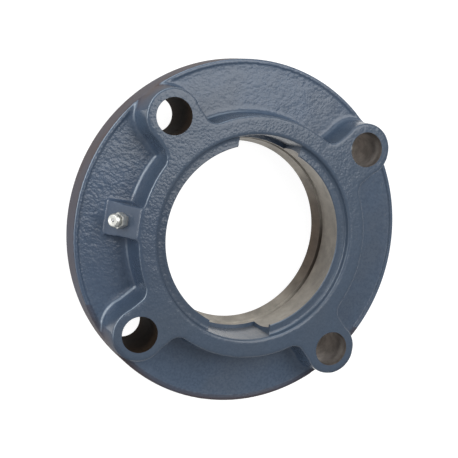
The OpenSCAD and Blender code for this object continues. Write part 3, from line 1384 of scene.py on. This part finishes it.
    def spring(self) -> Piece:
        """The check spring, built at rest; the real one shortens as the ball is pushed in.

        Returns:
            The piece that stands for the CAD node.
        """
        low = self.ledge_z + self.touch_gap + self.wire_r
        reach = math.sqrt(self.ball_r**2 - (self.spring_r - self.wire_r) ** 2)
        high = self.ball_z - reach - self.touch_gap - self.wire_r
        bpy.ops.object.select_all(action="DESELECT")
        bpy.ops.mesh.primitive_circle_add(
            vertices=self.wire_steps,
            radius=metres(self.wire_r),
            location=placed((self.spring_r, 0, low)),
            rotation=(math.pi / 2, 0, 0),
        )
        wire = settle(bpy.context.object, "spring_wire")
        steps = self.coil_steps * self.spring_turns
        apply_modifier(
            wire,
            "SCREW",
            angle=math.tau * self.spring_turns,
            screw_offset=metres(high - low),
            steps=steps,
            render_steps=steps,
            use_merge_vertices=False,
        )
        bpy.ops.object.mode_set(mode="EDIT")
        bpy.ops.mesh.select_all(action="DESELECT")
        bpy.ops.mesh.select_non_manifold()
        bpy.ops.mesh.edge_face_add()
        bpy.ops.object.mode_set(mode="OBJECT")
        close_up(wire)
        place = nipple_place(self.casting)
        obj = copy_at(wire, "check_spring", place)
        bpy.data.objects.remove(wire)
        obj.data.materials.clear()
        # Drawn wire: greyer and duller than the ball.
        steel = SmallSteel("drawn_spring_wire", "8C8C8E", "6E6D6C", 0.8, roughness=0.35)
        obj.data.materials.append(steel.material())
        activate(obj)
        bpy.ops.object.shade_smooth_by_angle(angle=WIRE_ANGLE)
        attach(obj, "casting")
        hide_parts("nipple_spring")
        tuple(place @ Vector(placed((0, 0, low - self.wire_r))))
        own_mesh(obj)
        return obj

    def ball(self) -> Piece:
        """The check ball, which is the CAD node with a polished skin.

        Returns:
            The CAD node.
        """
        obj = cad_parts["nipple_ball"]
        obj.data.materials.clear()
        # Hard and polished: a small clear highlight.
        steel = SmallSteel("polished_ball_steel", "B4B4B4", "909090", 0.7, roughness=0.14, metallic=1.0)
        obj.data.materials.append(steel.material())
        return obj


@dataclass
class Studio:
    """Pale floor, soft light from the top of the picture, and the camera.

    Places are in millimetres; `right`, `up` and `back` are the camera's own axes.
    """

    overhead: float = 0.4
    band: float = 1.2
    floor_glow: float = 0.93
    floor_z: float = -12.0
    lens: float = 70.465
    eye: tuple[float, float, float] = (-188.2, 44.2, 435.1)
    right: tuple[float, float, float] = (0.9136, 0.1632, 0.3724)
    up: tuple[float, float, float] = (-0.115, 0.9822, -0.1484)
    back: tuple[float, float, float] = (-0.39, 0.0928, 0.9161)

    def floor(self) -> Piece:
        """The floor that the housing lies on: white to the eye, and it keeps a soft shadow.

        Returns:
            The floor.
        """
        bpy.ops.object.select_all(action="DESELECT")
        bpy.ops.mesh.primitive_plane_add(size=8, location=placed((0, 0, self.floor_z)))
        obj = settle(bpy.context.object, "studio_floor")
        material, tree = new_tree("matt_white_paper")
        path = add_node(tree, "LightPath")
        seen: Value = path.outputs["Is Camera Ray"]
        for ray in ("Is Glossy Ray", "Is Transmission Ray"):
            seen = add_node(tree, "Math", {0: seen, 1: path.outputs[ray]}, operation="MAXIMUM")
        paper = add_node(tree, "BsdfDiffuse", {"Color": "E6E6E6"})
        shade = add_node(tree, "BsdfDiffuse", {"Color": "909090"})
        glow = add_node(tree, "Emission", {"Color": "FFFFFF", "Strength": self.floor_glow})
        white = add_node(tree, "AddShader", {0: shade, 1: glow})
        mix = add_node(tree, "MixShader", {0: seen, 1: paper, 2: white})
        add_node(tree, "OutputMaterial", {"Surface": mix})
        obj.data.materials.append(material)
        obj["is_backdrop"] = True
        return obj

    def sky(self) -> None:
        """A pale surround with a bright low band on the left, white where it is seen."""
        world = bpy.data.worlds.new("studio_surround")
        bpy.context.scene.world = world
        world.use_nodes = True
        tree = world.node_tree
        tree.nodes.clear()
        path = add_node(tree, "LightPath")
        way = add_node(tree, "TexCoord").outputs["Generated"]
        parts = add_node(tree, "SeparateXYZ", {"Vector": way})
        low = add_node(tree, "MapRange", {0: parts.outputs[2], 1: 0.36, 2: 0.16, 3: 0.0, 4: 1.0})
        left = add_node(tree, "MapRange", {0: parts.outputs[0], 1: -0.1, 2: -0.6, 3: 0.0, 4: 1.0})
        band = add_node(tree, "Math", {0: low, 1: left}, operation="MULTIPLY")
        more = {0: band, 1: self.band - self.overhead, 2: self.overhead}
        level = add_node(tree, "Math", more, operation="MULTIPLY_ADD")
        light = add_node(tree, "Background", {"Color": "F4F6FA", "Strength": level})
        seen = add_node(tree, "Background", {"Color": "FFFFFF", "Strength": 1.0})
        mix = add_node(tree, "MixShader", {0: path.outputs["Is Camera Ray"], 1: light, 2: seen})
        add_node(tree, "OutputWorld", {"Surface": mix})

    def lamp(self, name: str, place: Point, sides: tuple[float, float], watts: float) -> Piece:
        """A soft light aimed at the housing.

        Args:
            name: Its name.
            place: Where it hangs, millimetres.
            sides: Its width and height, millimetres.
            watts: Its power.

        Returns:
            The light.
        """
        data = bpy.data.lights.new(name, "AREA")
        data.shape = "RECTANGLE"
        data.size, data.size_y = placed(sides)
        data.energy = watts
        obj = bpy.data.objects.new(name, data)
        bpy.context.scene.collection.objects.link(obj)
        obj.location = placed(place)
        obj.rotation_mode = "QUATERNION"
        obj.rotation_quaternion = (-Vector(place)).to_track_quat("-Z", "Y")
        return obj

    def camera(self) -> Piece:
        """The camera, in the place that the flange, bore and bolt circles gave.

        Returns:
            The camera.
        """
        data = bpy.data.cameras.new("photo_camera")
        data.sensor_width = 36
        data.lens = self.lens
        data.clip_start = 0.02
        data.clip_end = 20
        obj = bpy.data.objects.new("photo_camera", data)
        bpy.context.scene.collection.objects.link(obj)
        axes = Matrix((self.right, self.up, self.back)).transposed()
        obj.matrix_world = Matrix.Translation(placed(self.eye)) @ axes.to_4x4()
        bpy.context.scene.camera = obj
        return obj

    def build(self) -> None:
        """Sets the floor, the surround, the lamps and the camera."""
        self.floor()
        self.sky()
        self.lamp("top_softbox", place=(165, 302, 635), sides=(540, 600), watts=3.6)
        self.lamp("left_strip", place=(-640, 200, 300), sides=(620, 150), watts=2.5)
        self.camera()
        bpy.context.scene.view_settings.view_transform = "Standard"


def report(obj: Piece) -> None:
    """Logs a piece's name and its number of faces."""
    log.info("%s: %d faces", obj.name, len(obj.data.polygons))


def main() -> None:
    """Builds the housing, the nipple and the studio."""
    logging.basicConfig(level=logging.INFO, format="%(name)s %(message)s")
    casting = CastHousing()
    nipple = GreaseNipple(casting)
    report(casting.build())
    report(nipple.body())
    report(nipple.spring())
    report(nipple.ball())
    Studio().build()
    boxes = {"cad": CAD_BOX, "visual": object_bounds()}
    {name: [list(corner) for corner in box] for name, box in boxes.items()}


if __name__ == "__main__":
    main()
